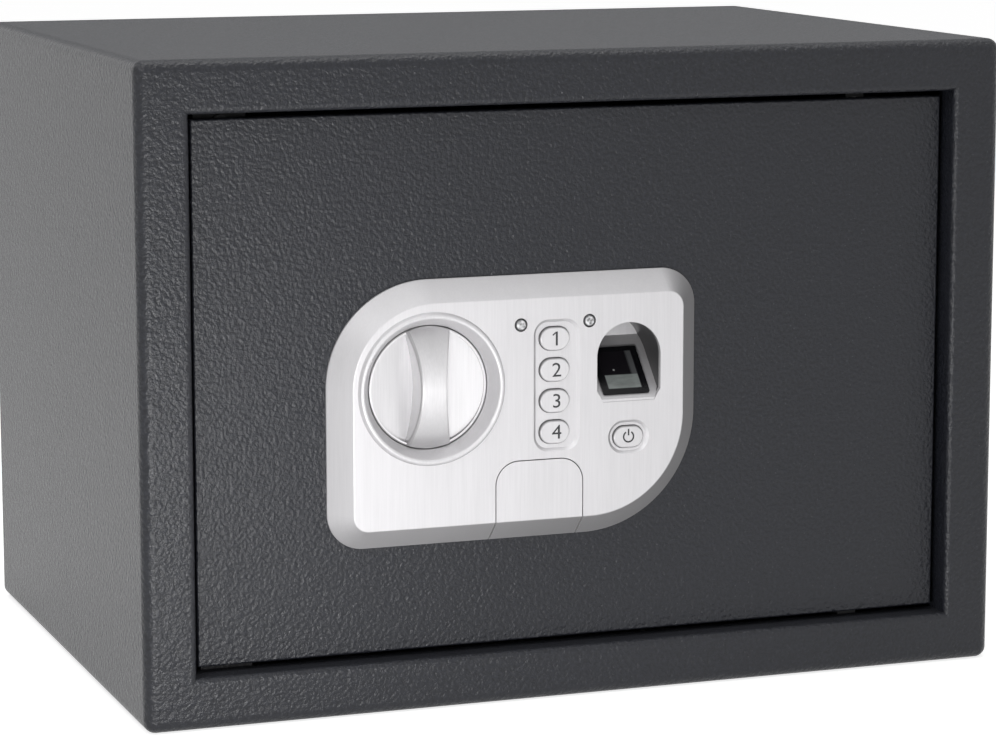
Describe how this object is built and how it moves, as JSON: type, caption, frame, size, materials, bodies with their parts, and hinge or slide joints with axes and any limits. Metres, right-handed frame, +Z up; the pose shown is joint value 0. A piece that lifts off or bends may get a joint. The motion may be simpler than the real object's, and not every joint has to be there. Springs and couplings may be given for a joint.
{
  "type": "electronic safe",
  "caption": "Small steel safe with a recessed hinged door, a silver lock panel with a turning knob, number keys, a finger reader, sliding bolts and a snap-in override lock cover.",
  "frame": {"origin": "centre of the cabinet's underside, which stands on the floor or a shelf", "axes": "+X to the right seen from the front, -Y out of the front, +Z up"},
  "size_m": [0.35, 0.2547, 0.25],
  "materials": {
    "case_paint": "dark grey textured powder coat",
    "door_paint": "dark grey textured powder coat",
    "felt": "dark grey felt",
    "zinc": "zinc-plated steel",
    "steel": "ground steel",
    "nylon": "natural nylon",
    "rubber": "black rubber",
    "panel_silver": "satin silver painted plastic",
    "knob_silver": "satin silver metal",
    "black_plastic": "black plastic",
    "sensor_glass": "dark glass",
    "lens_clear": "clear lens",
    "circuit_board": "green circuit board",
    "coil_wire": "blue taped coil",
    "cell_wrap": "plain cell wrap",
    "brass": "turned brass",
    "red_plastic": "red button",
    "lead_red": "lead insulation"
  },
  "bodies": {
    "cabinet": {"cabinet_shell": "case_paint", "back_panel": "case_paint", "floor_mat": "felt", "hinge_bracket_lower": "case_paint", "hinge_bracket_upper": "case_paint", "hinge_bushes": "nylon", "door_stops": "case_paint", "stop_bumpers": "rubber"},
    "door": {"door_plate": "door_paint", "hinge_knuckles": "door_paint", "hinge_pin_lower": "steel", "hinge_pin_upper": "steel", "inner_cover": "door_paint", "cover_posts": "zinc", "cover_screws": "zinc", "bolt_guide": "zinc", "guide_screws": "zinc", "knob_bush": "nylon", "lock_panel": "panel_silver", "panel_screws": "zinc", "led_lenses": "lens_clear", "finger_guide": "panel_silver", "sensor_bezel": "black_plastic", "sensor_window": "sensor_glass", "sensor_module": "black_plastic", "keypad_board": "circuit_board", "keypad_membrane": "rubber", "board_standoffs": "nylon", "control_board": "circuit_board", "battery_lead": "lead_red", "battery_box": "black_plastic", "batteries": "cell_wrap", "battery_contacts": "zinc", "solenoid_frame": "zinc", "solenoid_coil": "coil_wire", "plunger_spring": "steel", "override_barrel": "brass", "override_nut": "zinc"},
    "knob": {"knob": "knob_silver", "knob_shaft": "zinc", "crank_disc": "zinc", "stop_lobe": "zinc", "crank_screw": "zinc"},
    "boltwork": {"bolt_carrier": "zinc", "bolt_lower": "steel", "bolt_upper": "steel", "bolt_screws": "zinc"},
    "plunger": {"solenoid_plunger": "steel", "release_plate": "zinc"},
    "override": {"override_plug": "brass", "override_cam": "zinc", "cam_screw": "zinc"},
    "key_1": {"key_1": "panel_silver"},
    "key_2": {"key_2": "panel_silver"},
    "key_3": {"key_3": "panel_silver"},
    "key_4": {"key_4": "panel_silver"},
    "power_key": {"power_key": "panel_silver"},
    "key_cover": {"key_cover": "panel_silver"},
    "battery_lid": {"battery_lid": "black_plastic"},
    "reset_button": {"reset_button": "red_plastic"}
  },
  "joints": [
    {"name": "door_swing", "type": "hinge", "parent": "cabinet", "child": "door", "pos_m": [0.118, -0.107, 0.125], "axis": [0, 0, 1], "range_deg": [0, 110]},
    {"name": "knob_turn", "type": "hinge", "parent": "door", "child": "knob", "pos_m": [-0.063, -0.1175, 0.1242], "axis": [0, -1, 0], "range_deg": [0, 60]},
    {"name": "bolt_slide", "type": "slide", "parent": "door", "child": "boltwork", "axis": [-1, 0, 0], "range_m": [0, 0.016]},
    {"name": "plunger_slide", "type": "slide", "parent": "door", "child": "plunger", "axis": [0, 0, -1], "range_m": [-0.005, 0], "deforming": ["plunger_spring"]},
    {"name": "override_turn", "type": "hinge", "parent": "door", "child": "override", "pos_m": [-0.0198, -0.104, 0.0795], "axis": [0, -1, 0], "range_deg": [0, 90]},
    {"name": "key_1_press", "type": "slide", "parent": "door", "child": "key_1", "axis": [0, 1, 0], "range_m": [0, 0.0008], "stiffness_N_per_m": 400},
    {"name": "key_2_press", "type": "slide", "parent": "door", "child": "key_2", "axis": [0, 1, 0], "range_m": [0, 0.0008], "stiffness_N_per_m": 400},
    {"name": "key_3_press", "type": "slide", "parent": "door", "child": "key_3", "axis": [0, 1, 0], "range_m": [0, 0.0008], "stiffness_N_per_m": 400},
    {"name": "key_4_press", "type": "slide", "parent": "door", "child": "key_4", "axis": [0, 1, 0], "range_m": [0, 0.0008], "stiffness_N_per_m": 400},
    {"name": "power_key_press", "type": "slide", "parent": "door", "child": "power_key", "axis": [0, 1, 0], "range_m": [0, 0.0008], "stiffness_N_per_m": 400},
    {"name": "key_cover_pull", "type": "slide", "parent": "door", "child": "key_cover", "axis": [0, -1, 0], "range_m": [0, 0.03]},
    {"name": "battery_lid_pull", "type": "slide", "parent": "door", "child": "battery_lid", "axis": [0, 1, 0], "range_m": [0, 0.025]},
    {"name": "reset_press", "type": "slide", "parent": "door", "child": "reset_button", "axis": [0, -1, 0], "range_m": [0, 0.0015], "stiffness_N_per_m": 400}
  ],
  "couplings": [
    {"joint": "bolt_slide", "follows": "knob_turn", "m_per_rad": 0.015279}
  ]
}
